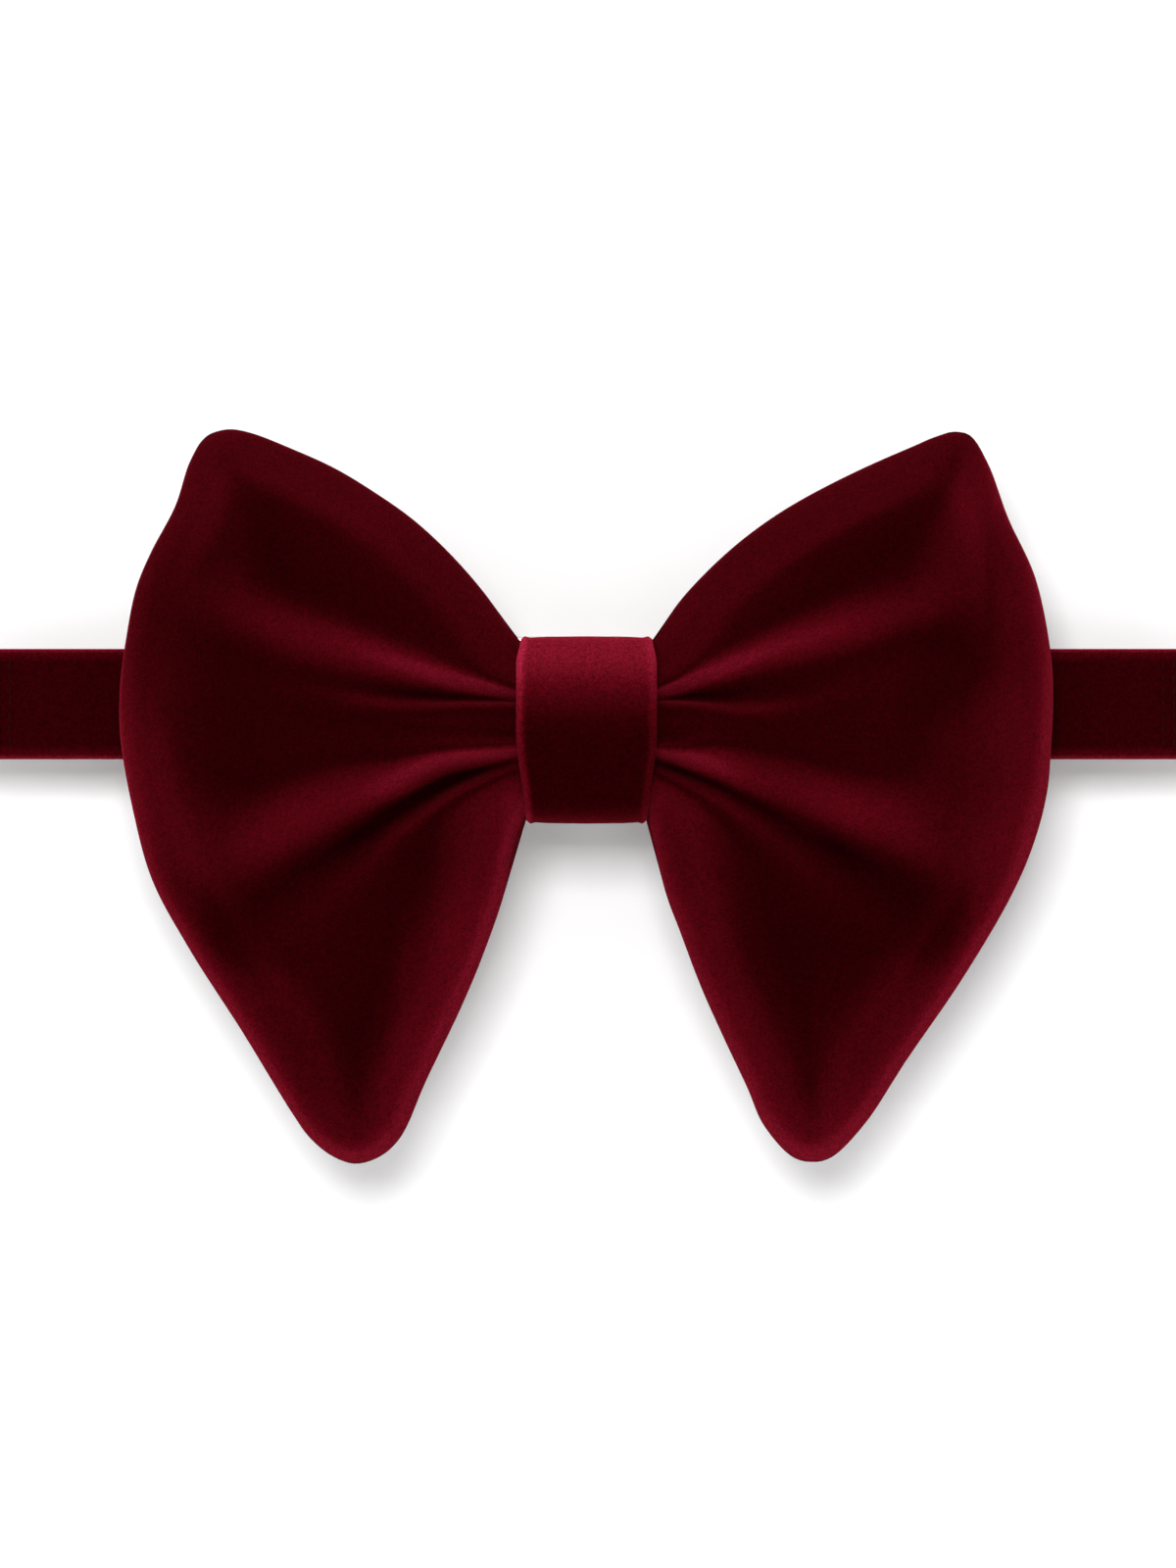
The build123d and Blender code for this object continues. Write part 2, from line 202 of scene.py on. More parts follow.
def paint_light_and_shade(obj, values):
    """Stores the painted light and shade for the velvet's base colour at each point of the mesh."""
    attribute = obj.data.attributes.new("painted_light", "FLOAT", "POINT")
    attribute.data.foreach_set("value", np.asarray(values, np.float32).ravel())


def grid_faces(rows, columns, wrap_columns=False, start=0, flip=False):
    """Quads between the points of a grid that is stored row by row."""
    last = columns if wrap_columns else columns - 1
    row, column = np.meshgrid(np.arange(rows - 1), np.arange(last), indexing="ij")
    after = (column + 1) % columns
    here, below = row * columns, (row + 1) * columns
    quads = np.stack([here + column, here + after, below + after, below + column], axis=-1)
    quads = quads.reshape(-1, 4) + start
    return quads[:, ::-1] if flip else quads


def strip_faces(first, second):
    """Quads between two rows of point numbers that lie side by side."""
    return np.stack([first, first + 1, second + 1, second], axis=1)


def smooth_curve(points, count):
    """Evenly spaced points along a centripetal Catmull-Rom curve through the given ones."""
    p = np.asarray(points, float)
    p = np.vstack([2 * p[0] - p[1], p, 2 * p[-1] - p[-2]])
    steps = 24
    pieces = []
    for a, b, c, d in zip(p, p[1:], p[2:], p[3:]):
        t1 = math.dist(a, b) ** 0.5
        t2 = t1 + math.dist(b, c) ** 0.5
        t3 = t2 + math.dist(c, d) ** 0.5
        t = np.linspace(t1, t2, steps, endpoint=False)[:, None]
        ab = (t1 - t) / t1 * a + t / t1 * b
        bc = (t2 - t) / (t2 - t1) * b + (t - t1) / (t2 - t1) * c
        cd = (t3 - t) / (t3 - t2) * c + (t - t2) / (t3 - t2) * d
        abc = (t2 - t) / t2 * ab + t / t2 * bc
        bcd = (t3 - t) / (t3 - t1) * bc + (t - t1) / (t3 - t1) * cd
        pieces.append((t2 - t) / (t2 - t1) * abc + (t - t1) / (t2 - t1) * bcd)
    curve = np.vstack(pieces + [p[-2:-1]])
    along = np.concatenate([[0], np.cumsum(np.linalg.norm(np.diff(curve, axis=0), axis=1))])
    at = np.linspace(0, 1, count) * along[-1]
    return np.stack([np.interp(at, along, curve[:, k]) for k in range(p.shape[1])], axis=1)


def smoothstep(value, low, high):
    """0 below low, 1 above high and an S curve between."""
    t = np.clip((value - low) / (high - low), 0, 1)
    return t * t * (3 - 2 * t)


def bump_curve(offset, width):
    """A soft hump: 1 in the middle, close to 0 two widths away."""
    return np.exp(-(offset / width) ** 2)


def waves(x, z, seed, wavelength, count=9):
    """Soft irregular undulation from -1 to 1, the same at every run."""
    random = np.random.default_rng(seed)
    total = np.zeros_like(x)
    for _ in range(count):
        angle, phase = random.uniform(0, 2 * math.pi, 2)
        scale = 2 * math.pi / (wavelength * random.uniform(0.7, 1.6))
        total += np.sin((x * math.cos(angle) + z * math.sin(angle)) * scale + phase)
    return total / count ** 0.5 / 1.6


# ---------------------------------------------------------------- wings

def edge_distance(x, z, edge):
    """Distance of points from the wing's free edge, eased where two edges are equally near.

    The eased distance comes from the sum of 1 / distance ** 6 along the edge, which has no crease
    where the nearest edge changes. For one long straight edge that sum is 1.178 / distance ** 5.
    """
    straight_edge_sum = 1.178
    here = np.stack([x.ravel(), z.ravel()], axis=1)
    nearest = np.full(len(here), np.inf)
    crowd = np.zeros(len(here))
    for a, b in zip(edge, edge[1:]):
        along = b - a
        share = np.clip(((here - a) @ along) / max(along @ along, 1e-9), 0, 1)
        gap = here - a - share[:, None] * along
        squared = np.einsum("ij,ij->i", gap, gap)
        nearest = np.minimum(nearest, squared)
        crowd += math.sqrt(along @ along) / np.maximum(squared, 0.04) ** 3
    nearest = np.sqrt(nearest)
    eased = (crowd / straight_edge_sum) ** -0.2
    near = smoothstep(nearest, 1.5, 6)
    return (nearest * (1 - near) + eased * near).reshape(x.shape)


def rolled(distance, roll):
    """The cross-section of a puffed rim: 0 at the edge, 1 one roll's width in."""
    roundness = 0.56
    t = np.clip(distance / roll, 0, 1)
    return (1 - (1 - t) ** 2.0) ** roundness


def fold_line(rows, x):
    """Height, softness and depth of a fold at each x."""
    samples = 80
    table = smooth_curve(rows, samples)
    return [np.interp(x, table[:, 0], table[:, k]) for k in (1, 2, 3)]


def turn_over(value, softness):
    """A soft step: 0 well below zero, 1 well above it."""
    return 0.5 * (1 + np.tanh(value / softness))


def front_relief(x, z, folds, seed):
    """How far the folds lift or lower the wing's front in mm, and how deep each hollow is."""
    flank_z, flank_soft, flank_rise = fold_line(folds["upper_flank"], x)
    lip_z, lip_soft, lip_rise = fold_line(folds["pleat_lip"], x)
    drop_z, drop_soft, drop_depth = fold_line(folds["lower_flank"], x)
    rise_z, rise_soft, rise_height = fold_line(folds["lower_rise"], x)
    upper_lobe = turn_over(z - flank_z, flank_soft)
    pleat = turn_over(lip_z - z, lip_soft)
    dropped = turn_over(drop_z - z, drop_soft)
    lower_lobe = turn_over(rise_z - z, rise_soft)
    lip_roll = 0.45 * lip_rise / 3.4 * bump_curve(z - lip_z + 1.6, 2.2)
    crest = 0.9 * drop_depth / 4 * bump_curve(z - drop_z - 1.7 * drop_soft, 1.2 * drop_soft)
    relief = flank_rise * upper_lobe + lip_rise * (pleat - 1) - drop_depth * dropped
    swell_x, swell_z, radius, swell_rise = folds["swell"]
    swell = swell_rise * bump_curve(np.hypot(x - swell_x, z - swell_z), radius)
    relief += rise_height * lower_lobe + lip_roll + crest + swell + 0.3 * waves(x, z, seed, 34)
    hollow = lip_rise * (1 - upper_lobe) * (1 - pleat) + drop_depth * dropped * (1 - lower_lobe)
    return relief, hollow


class Wing:
    """One wing's shape: a grid whose columns run from the knot's middle to the free edge.

    side is -1 or 1, inset is how far inside the free edge the grid ends, and root_x is where it
    starts when that is nearer the middle than the throat, where the cloth enters the knot.
    """

    def __init__(self, side, edge, folds, seed, columns=300, rows=130, inset=0.0, root_x=0.0):
        self.side = side
        free_edge = smooth_curve(edge, columns)
        ahead = np.gradient(free_edge, axis=0)
        ahead /= np.linalg.norm(ahead, axis=1)[:, None]
        inward = np.stack([ahead[:, 1], -ahead[:, 0]], axis=1)
        outline = free_edge + inward * inset
        throat_x = max(root_x, THROAT_X)
        heights = np.linspace(THROAT_TOP, THROAT_BOTTOM, columns)
        root = np.stack([np.full(columns, throat_x), heights], axis=1)
        closer_at_edge = 1.7
        out = (1 - (1 - np.linspace(0, 1, rows)) ** closer_at_edge)[:, None, None]
        flat = root * (1 - out) + outline * out
        if root_x < throat_x:
            inside = np.linspace(root_x, throat_x, 5)[:-1]
            through = np.repeat(root[None], len(inside), axis=0)
            through[..., 0] = inside[:, None]
            flat = np.vstack([through, flat])
        self.x, self.z = flat[..., 0], flat[..., 1]
        self.distance = edge_distance(self.x, self.z, free_edge[::3])
        if inset == 0:
            self.distance[-1] = 0
        rim = rolled(self.distance, RIM_ROLL)
        neck = smoothstep(self.x, 9, 26)
        plateau = FRONT_FULLNESS + 0.9 * smoothstep(self.distance, 2, 24) * neck
        plateau += 0.3 * waves(self.x, self.z, seed + 5, 60)
        relief, hollow = front_relief(self.x, self.z, folds, seed)
        # The fold depths, eased further out, set how much painted shade each fold gets.
        self.hollow = hollow * (1 - 0.45 * smoothstep(self.x, 30, 54))
        raised = rim * plateau + relief * smoothstep(self.distance, 0.0, 9.0)
        self.front = np.maximum(raised, 0.25 * rim * plateau)
        soft = 0.3 * waves(self.x, self.z, seed + 9, 40) * smoothstep(self.distance, 3, 12)
        self.back = np.minimum(rim * (BACK_FULLNESS + soft), WING_HALF_DEPTH - 0.4)

    def flat_area(self):
        """Area of the flat cut from the knot's middle to the free edge, in square mm."""
        x, z = np.append(self.x[-1], self.x[0][::-1]), np.append(self.z[-1], self.z[0][::-1])
        return abs(float(x @ np.roll(z, -1) - z @ np.roll(x, -1))) / 2

    def back_rows(self, closed):
        """The grid rows that the plainer back keeps. A closed edge shares the front's last row."""
        rows = len(self.x)
        keep = np.unique(np.concatenate([np.arange(0, rows - 1, 3), np.arange(rows - 12, rows - 1)]))
        return keep if closed else np.append(keep, rows - 1)

    def mesh(self, front, back, open_root=False):
        """Points and faces of the solid between two depths either side of the seam."""
        rows, columns = self.x.shape
        keep = self.back_rows(closed=np.allclose(front[-1], -back[-1]))
        front_points = np.stack([self.side * self.x, WING_SEAM_Y - front, self.z], axis=-1)
        back_points = np.stack([self.side * self.x, WING_SEAM_Y + back, self.z], axis=-1)[keep]
        start = rows * columns
        column = np.arange(columns - 1)
        last_back = start + (len(keep) - 1) * columns
        last_front = (rows - 1) * columns
        quads = [
            grid_faces(rows, columns),
            grid_faces(len(keep), columns, start=start, flip=True),
            strip_faces(last_front + column, last_back + column),
        ]
        if not open_root:
            quads.append(strip_faces(start + column, column))
        ends = []
        for index in (0, columns - 1):
            above = np.arange(rows) * columns + index
            below = start + np.arange(len(keep)) * columns + index
            loop = list(above) + list(below[::-1])
            ends.append(loop if index == 0 else loop[::-1])
        faces = np.vstack(quads).tolist() + ends
        if self.side < 0:
            faces = [face[::-1] for face in faces]
        points = np.vstack([front_points.reshape(-1, 3), back_points.reshape(-1, 3)])
        return points, faces

    def tilt(self):
        """Slopes of the front: how far it faces outwards along +X and up along +Z."""
        across_x, across_z = np.gradient(self.side * self.x, axis=1), np.gradient(self.z, axis=1)
        out_x, out_z = np.gradient(self.side * self.x, axis=0), np.gradient(self.z, axis=0)
        d_across, d_out = np.gradient(self.front, axis=1), np.gradient(self.front, axis=0)
        area = across_x * out_z - across_z * out_x
        least = 1e-5
        area = np.where(np.abs(area) < least, least, area)
        slope_x = (d_across * out_z - d_out * across_z) / area
        slope_z = (d_out * across_x - d_across * out_x) / area
        return -slope_x, -slope_z

    def painted_light(self):
        """Painted light and shade for the velvet's base colour, from 0 to 1.

        It is dark face on, painted lighter on any slope, lightest (a painted highlight) on one that
        faces down or to the right, and darkest (painted shade) deep in a fold.
        """
        face_on, most_lean, most_steep = 0.095, 0.62, 0.8
        face_x, face_z = self.tilt()
        sideways = np.where(face_x > 0, 0.60 * face_x, -0.18 * face_x)
        lean = np.clip(sideways - 0.80 * face_z - 0.05, 0, most_lean)
        steep = np.clip(np.hypot(face_x, face_z), 0, most_steep)
        # Painted highlight on slopes, strongest where they face down or right, and painted shade deep
        # in folds.
        light = face_on + 0.42 * lean ** 0.8 + 0.23 * steep - 0.014 * self.hollow ** 2.4
        light += 0.025 * waves(self.x, self.z, 21 + self.side, 48)
        return np.clip(soften(light, 2), 0, 1)


def soften(values, passes):
    """Blurs a grid of values a little."""
    for _ in range(passes):
        padded = np.pad(values, 1, mode="edge")
        above_below = padded[:-2, 1:-1] + padded[2:, 1:-1]
        beside = padded[1:-1, :-2] + padded[1:-1, 2:]
        values = (padded[1:-1, 1:-1] * 2 + above_below + beside) / 6
    return values


def lowest_nearby(values, reach):
    """The least value within a few grid steps of each point."""
    padded = np.pad(values, reach, mode="edge")
    rows, columns = values.shape
    steps = range(2 * reach + 1)
    shifts = [padded[r:r + rows, c:c + columns] for r in steps for c in steps]
    return np.minimum.reduce(shifts)


# ---------------------------------------------------------------- materials

def shader(name, base, roughness):
    """A material with a Principled shader, and its node tree."""
    material = bpy.data.materials.new(name)
    material.use_nodes = True
    tree = material.node_tree
    principled = tree.nodes["Principled BSDF"]
    principled.inputs["Base Color"].default_value = (*base, 1)
    principled.inputs["Roughness"].default_value = roughness
    return material, tree, principled


def noise(tree, scale, detail=2.0, stretch=None):
    """A noise texture in object space: scale is cycles per metre."""
    coordinates = tree.nodes.new("ShaderNodeTexCoord")
    texture = tree.nodes.new("ShaderNodeTexNoise")
    texture.inputs["Scale"].default_value = scale
    texture.inputs["Detail"].default_value = detail
    if stretch:
        mapping = tree.nodes.new("ShaderNodeMapping")
        mapping.inputs["Scale"].default_value = stretch
        tree.links.new(coordinates.outputs["Object"], mapping.inputs["Vector"])
        tree.links.new(mapping.outputs["Vector"], texture.inputs["Vector"])
    else:
        tree.links.new(coordinates.outputs["Object"], texture.inputs["Vector"])
    return texture


def ramp(tree, source, stops):
    """A colour ramp fed by a texture's factor. stops are (position, colour)."""
    node = tree.nodes.new("ShaderNodeValToRGB")
    elements = node.color_ramp.elements
    while len(elements) < len(stops):
        elements.new(0.5)
    for element, (position, colour) in zip(elements, stops):
        element.position = position
        element.color = (*colour, 1)
    tree.links.new(source.outputs["Fac"], node.inputs["Fac"])
    return node


def multiply(tree, first, second):
    """Two colours multiplied."""
    node = tree.nodes.new("ShaderNodeMix")
    node.data_type = "RGBA"
    node.blend_type = "MULTIPLY"
    node.inputs["Factor"].default_value = 1
    tree.links.new(first, node.inputs[6])
    tree.links.new(second, node.inputs[7])
    return node


def bump(tree, principled, textures, distance):
    """Chains bumps from (texture, strength) pairs into the shader's normal."""
    normal = None
    for texture, strength in textures:
        node = tree.nodes.new("ShaderNodeBump")
        node.inputs["Strength"].default_value = strength
        node.inputs["Distance"].default_value = distance
        tree.links.new(texture.outputs["Fac"], node.inputs["Height"])
        if normal:
            tree.links.new(normal.outputs["Normal"], node.inputs["Normal"])
        normal = node
    tree.links.new(normal.outputs["Normal"], principled.inputs["Normal"])


def velvet():
    """Burgundy velvet: almost black face on, a rosy sheen where the pile is seen from the side, painted
    light and shade in the base colour.
    """
    material, tree, principled = shader("velvet", (0.04, 0.0, 0.003), 0.9)
    painted_light = tree.nodes.new("ShaderNodeAttribute")
    painted_light.attribute_name = "painted_light"
    pile, tufts = noise(tree, 2900, 3), noise(tree, 1300, 2)
    fine = ramp(tree, pile, [(0.3, (0.56, 0.56, 0.56)), (0.7, (1.26, 1.26, 1.26))])
    coarse = ramp(tree, tufts, [(0.3, (0.83, 0.83, 0.83)), (0.7, (1.09, 1.09, 1.09))])
    tones = [
        (0.0, (0.0055, 0.0, 0.0002)), (0.17, (0.021, 0.0003, 0.0010)), (0.40, (0.067, 0.0013, 0.0038)),
        (0.70, (0.163, 0.0050, 0.0148)), (1.0, (0.30, 0.0118, 0.036)),
    ]
    # The ramp turns the painted light attribute into base colour: painted shade at the dark end,
    # painted highlight at the light end.
    shade = ramp(tree, painted_light, tones)
    grain = multiply(tree, fine.outputs["Color"], coarse.outputs["Color"])
    colour = multiply(tree, grain.outputs[2], shade.outputs["Color"])
    tree.links.new(colour.outputs[2], principled.inputs["Base Color"])
    bump(tree, principled, [(pile, 0.5), (tufts, 0.2)], 0.0004)
    principled.inputs["Specular IOR Level"].default_value = 0.0
    principled.inputs["Sheen Weight"].default_value = 0.28
    principled.inputs["Sheen Roughness"].default_value = 0.4
    principled.inputs["Sheen Tint"].default_value = (0.60, 0.030, 0.055, 1)
    return material


def satin():
    """Burgundy satin of the rear band: fine threads along it, a soft gloss."""
    material, tree, principled = shader("satin", (0.06, 0.001, 0.006), 0.42)
    threads = noise(tree, 1100, 3, stretch=(0.12, 0.12, 2.4))
    cloud = noise(tree, 60, 2)
    fine = ramp(tree, threads, [(0.3, (0.60, 0.60, 0.60)), (0.7, (1.25, 1.25, 1.25))])
    tone = ramp(tree, cloud, [(0.3, (0.048, 0.0008, 0.0042)), (0.7, (0.072, 0.0016, 0.0068))])
    colour = multiply(tree, fine.outputs["Color"], tone.outputs["Color"])
    tree.links.new(colour.outputs[2], principled.inputs["Base Color"])
    bump(tree, principled, [(threads, 0.45)], 0.0002)
    principled.inputs["Specular IOR Level"].default_value = 0.22
    principled.inputs["Specular Tint"].default_value = (0.75, 0.22, 0.27, 1)
    principled.inputs["Sheen Weight"].default_value = 0.06
    principled.inputs["Sheen Roughness"].default_value = 0.35
    principled.inputs["Sheen Tint"].default_value = (0.60, 0.04, 0.08, 1)
    return material


def plain_cloth(name, dark, light, scale):
    """Undyed or dyed plain cloth with a visible weave."""
    material, tree, principled = shader(name, light, 0.9)
    principled.inputs["Specular IOR Level"].default_value = 0.05
    weave = noise(tree, scale, 2)
    shade = ramp(tree, weave, [(0.3, dark), (0.7, light)])
    tree.links.new(shade.outputs["Color"], principled.inputs["Base Color"])
    bump(tree, principled, [(weave, 0.5)], 0.0004)
    return material


def plated_metal():
    """Nickel plate with faint drawing marks."""
    material, tree, principled = shader("plated_metal", (0.74, 0.73, 0.71), 0.22)
    principled.inputs["Metallic"].default_value = 1
    marks = noise(tree, 500, 3)
    rough = tree.nodes.new("ShaderNodeMapRange")
    rough.inputs["To Min"].default_value = 0.16
    rough.inputs["To Max"].default_value = 0.34
    tree.links.new(marks.outputs["Fac"], rough.inputs["Value"])
    tree.links.new(rough.outputs["Result"], principled.inputs["Roughness"])
    shade = ramp(tree, marks, [(0.3, (0.66, 0.65, 0.63)), (0.7, (0.80, 0.79, 0.77))])
    tree.links.new(shade.outputs["Color"], principled.inputs["Base Color"])
    return material


VELVET = velvet()
SATIN = satin()
METAL = plated_metal()
VELVET_THREAD = plain_cloth("velvet_thread", (0.012, 0.0, 0.0008), (0.022, 0.0004, 0.0012), 2500)
THREAD = plain_cloth("thread", (0.05, 0.002, 0.006), (0.12, 0.008, 0.02), 2500)
CANVAS = plain_cloth("canvas", (0.42, 0.38, 0.30), (0.62, 0.57, 0.47), 1400)
WADDING = plain_cloth("wadding", (0.72, 0.71, 0.68), (0.88, 0.87, 0.84), 400)


# ---------------------------------------------------------------- the bow

def make_bow():
    """Both wings: velvet over two waddings, and the canvas that runs through the knot."""
    wings = {
        "left": (-1, LEFT_WING_EDGE, LEFT_FOLDS, 3),
        "right": (1, RIGHT_WING_EDGE, RIGHT_FOLDS, 8),
    }
    canvas_points, canvas_faces, canvas_area = [], [], 0.0
    for name, shape in wings.items():
        wing = Wing(*shape)
        velvet_wing = make_mesh(f"{name}_wing_velvet", *wing.mesh(wing.front, wing.back), VELVET)
        place(velvet_wing, "bow", "velvet", "bow_front_panel", "bow_back_panel")
        # Painted highlight and painted shade for the front. The back reuses the front's rows, so it
        # carries the front's painted fold shading.
        painted_light = wing.painted_light()
        paint_light_and_shade(velvet_wing, np.vstack([painted_light, painted_light[wing.back_rows(closed=True)]]))
        inner = Wing(*shape, columns=150, rows=60, inset=WADDING_INSET, root_x=WADDING_ROOT_X)
        core = np.full_like(inner.x, CANVAS_GAP)
        front = np.maximum(lowest_nearby(inner.front, 2) - FRONT_VELVET, LEAST_WADDING)
        back = np.maximum(lowest_nearby(inner.back, 1) - BACK_VELVET, LEAST_WADDING)
        for face, depths in (("front", (front, -core)), ("back", (-core, back))):
            wadding = make_mesh(f"{name}_{face}_fill", *inner.mesh(*depths), WADDING)
            place(wadding, "bow", "wadding", f"{name}_{face}_wadding")
        sheet = Wing(*shape, columns=120, rows=30, inset=CANVAS_INSET, root_x=0.0)
        half = np.full_like(sheet.x, CANVAS_HALF_THICKNESS)
        points, faces = sheet.mesh(half, half, open_root=True)
        start = sum(len(p) for p in canvas_points)
        canvas_points.append(points)
        canvas_faces += [[corner + start for corner in face] for face in faces]
        canvas_area += sheet.flat_area()
    points = np.vstack(canvas_points)
    canvas = make_mesh("bow_interlining", points, canvas_faces, CANVAS, smooth=False, weld=True)
    place(canvas, "bow", "canvas", "bow_canvas")


def place(piece, body, slot, *nodes):
    """The piece rides on a body and stands for some CAD nodes, which are hidden. slot is not used."""
    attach(piece, body)
    if nodes:
        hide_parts(*nodes)


def rounded_loop(box_mm, count, squareness):
    """A closed loop with rounded corners in the Y-Z plane that fills a box, and its outward normals."""
    low, high = box_mm
    half_y, half_z = (high[1] - low[1]) / 2, (high[2] - low[2]) / 2
    turn = np.linspace(0, 2 * math.pi, count, endpoint=False) + math.pi
    y = -np.sign(np.cos(turn)) * np.abs(np.cos(turn)) ** (2 / squareness) * half_y
    z = np.sign(np.sin(turn)) * np.abs(np.sin(turn)) ** (2 / squareness) * half_z
    loop = np.stack([y, z], axis=1)
    closed = np.vstack([loop, loop[:1]])
    along = np.concatenate([[0], np.cumsum(np.linalg.norm(np.diff(closed, axis=0), axis=1))])
    at = np.linspace(0, along[-1], count, endpoint=False)
    loop = np.stack([np.interp(at, along, closed[:, k]) for k in (0, 1)], axis=1)
    ahead = np.roll(loop, -1, axis=0) - np.roll(loop, 1, axis=0)
    ahead /= np.linalg.norm(ahead, axis=1)[:, None]
    outward = np.stack([-ahead[:, 1], ahead[:, 0]], axis=1)
    outward *= np.sign(np.sum(outward * loop))
    centre = np.array([(low[1] + high[1]) / 2, (low[2] + high[2]) / 2])
    return loop + centre, outward


def box_mm(node):
    """A CAD node's low and high corners in millimetres."""
    return [np.array(corner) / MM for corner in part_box(node)]


def tube_faces(rows, columns):
    """Faces of a closed ring: both the path and the section wrap round."""
    column = np.arange(columns)
    after = (column + 1) % columns
    last = (rows - 1) * columns
    seam = np.stack([last + column, last + after, after, column], axis=1)
    return np.vstack([grid_faces(rows, columns, wrap_columns=True), seam])


def knot_tube(name, node, wall, material, crown, margin=0.0):
    """A flat tube of cloth round the X axis: rolled side rims and narrower at the bottom."""
    box = box_mm(node)
    count, rim, squareness = 260, 48, 5.0
    loop, outward = rounded_loop(box, count, squareness)
    top, bottom = box[1][2], box[0][2]
    around = np.linspace(0, 2 * math.pi, rim, endpoint=False)
    across = np.sign(np.cos(around)) * np.abs(np.cos(around)) ** 0.24
    depth = np.sign(np.sin(around)) * np.abs(np.sin(around)) ** 0.7
    z = loop[:, 1]
    foot_taper, head_taper = 0.140, 0.055
    taper = 1 - foot_taper * smoothstep(-z, 5, -bottom) - head_taper * smoothstep(z, top - 4.5, top)
    half_width = (box[1][0] - box[0][0]) / 2 * taper - margin
    outer = (depth > 0)[None]
    lift = (depth[None] - 1) * wall / 2 + crown * (1 - np.abs(across[None]) ** 3) * outer
    rim_height, rim_at, rim_width = 0.35, 0.93, 0.05
    rolled_rim = rim_height * bump_curve(np.abs(across[None]) - rim_at, rim_width) * outer * (crown > 0)
    lift = lift + rolled_rim
    points = np.zeros((count, rim, 3))
    points[..., 0] = half_width[:, None] * across[None]
    points[..., 1] = loop[:, None, 0] + outward[:, None, 0] * lift
    points[..., 2] = loop[:, None, 1] + outward[:, None, 1] * lift
    tube = make_mesh(name, points.reshape(-1, 3), tube_faces(count, rim), material)
    # Painted light on the knot: lighter towards the top, a painted highlight at the foot, and painted
    # sheen on the side rims, stronger on the left.
    fall = smoothstep(z, bottom * 0.75, top)
    painted_rim_sheen = (0.26 - 0.08 * np.sign(across[None])) * smoothstep(np.abs(across[None]), 0.84, 0.96)
    painted_foot_light = 0.16 * smoothstep(-z, -bottom - 4, -bottom)
    face_on, top_light = 0.10, 0.62
    paint_light_and_shade(tube, face_on + top_light * fall[:, None] ** 2.8 + painted_foot_light[:, None] + painted_rim_sheen)
    return tube


def make_knot():
    """The knot: velvet over a stiffener, the thread round the waist, and the closing stitches."""
    wrap = knot_tube("knot_wrap", "knot_velvet", KNOT_WALL, VELVET, KNOT_CROWN)
    place(wrap, "bow", "velvet", "knot_velvet")
    stiffener = knot_tube(
        "knot_interlining", "knot_stiffener", KNOT_STIFFENER_WALL, CANVAS, 0.0, KNOT_STIFFENER_MARGIN,
    )
    place(stiffener, "bow", "canvas", "knot_stiffener")
    loop, outward = rounded_loop(box_mm("waist_binding"), 120, 4.5)
    turns = 5
    around = np.linspace(0, 2 * math.pi, 10, endpoint=False)
    points, faces = [], []
    for turn in range(turns):
        x_centre = (turn - (turns - 1) / 2) * BINDING_PITCH
        ring = np.zeros((len(loop), len(around), 3))
        ring[..., 0] = x_centre + BINDING_RADIUS * np.cos(around)[None]
        lift = BINDING_RADIUS * np.sin(around)[None] - BINDING_RADIUS
        ring[..., 1] = loop[:, None, 0] + outward[:, None, 0] * lift
        ring[..., 2] = loop[:, None, 1] + outward[:, None, 1] * lift
        faces += (tube_faces(len(loop), len(around)) + turn * ring[..., 0].size).tolist()
        points.append(ring.reshape(-1, 3))
    binding = make_mesh("waist_thread", np.vstack(points), faces, THREAD)
    place(binding, "bow", "thread", "waist_binding")
    low, high = box_mm("knot_stitches")
    stitches, end_gap, sunk, slant = 9, 0.6, 0.05, (0.94, 0, -0.34)
    heights = np.linspace(low[2] + end_gap, high[2] - end_gap, stitches)
    marks = [((0, low[1] + sunk, z), slant) for z in heights]
    closing = thread_stitches(
        "knot_closing_stitches", marks, CLOSING_STITCH_LENGTH, (0, 1, 0), THREAD,
    )
    place(closing, "bow", "thread", "knot_stitches")


# ---------------------------------------------------------------- stitches

def thread_stitches(name, marks, length, normal, material):
    """Short raised stitches. marks are (centre, direction) in millimetres."""
    normal = np.asarray(normal, float)
    along = np.linspace(-0.5, 0.5, 7)
    around = np.linspace(0, 2 * math.pi, 8, endpoint=False)
    points, faces = [], []
    for centre, direction in marks:
        direction = np.asarray(direction, float) / np.linalg.norm(direction)
        sideways = np.cross(normal, direction)
        width = THREAD_RADIUS * (0.25 + 0.75 * np.sqrt(np.clip(1 - (2 * along) ** 2, 0, 1)))
        rise = THREAD_RADIUS * 0.9 * (1 - (2 * along) ** 2)
        spine = np.asarray(centre) + along[:, None] * length * direction + rise[:, None] * normal
        ring = np.cos(around)[:, None] * sideways + np.sin(around)[:, None] * normal
        stitch = spine[:, None] + width[:, None, None] * ring[None]
        start = sum(len(p) for p in points)
        faces += (grid_faces(len(along), len(around), wrap_columns=True) + start).tolist()
        last = start + (len(along) - 1) * len(around)
        faces.append([start + k for k in range(len(around))][::-1])
        faces.append([last + k for k in range(len(around))])
        points.append(stitch.reshape(-1, 3))
    return make_mesh(name, np.vstack(points), faces, material)


def stitch_rows(name, x_positions, y, normal, material):
    """Rows of stitches that run up and down across a band."""
    count = int(2 * (BAND_WIDTH / 2 - STITCH_MARGIN) / STITCH_PITCH)
    heights = (np.arange(count) - (count - 1) / 2) * STITCH_PITCH
    marks = [((x, y, z), (0, 0, 1)) for x in x_positions for z in heights]
    return thread_stitches(name, marks, STITCH_LENGTH, normal, material)


# ---------------------------------------------------------------- neck band

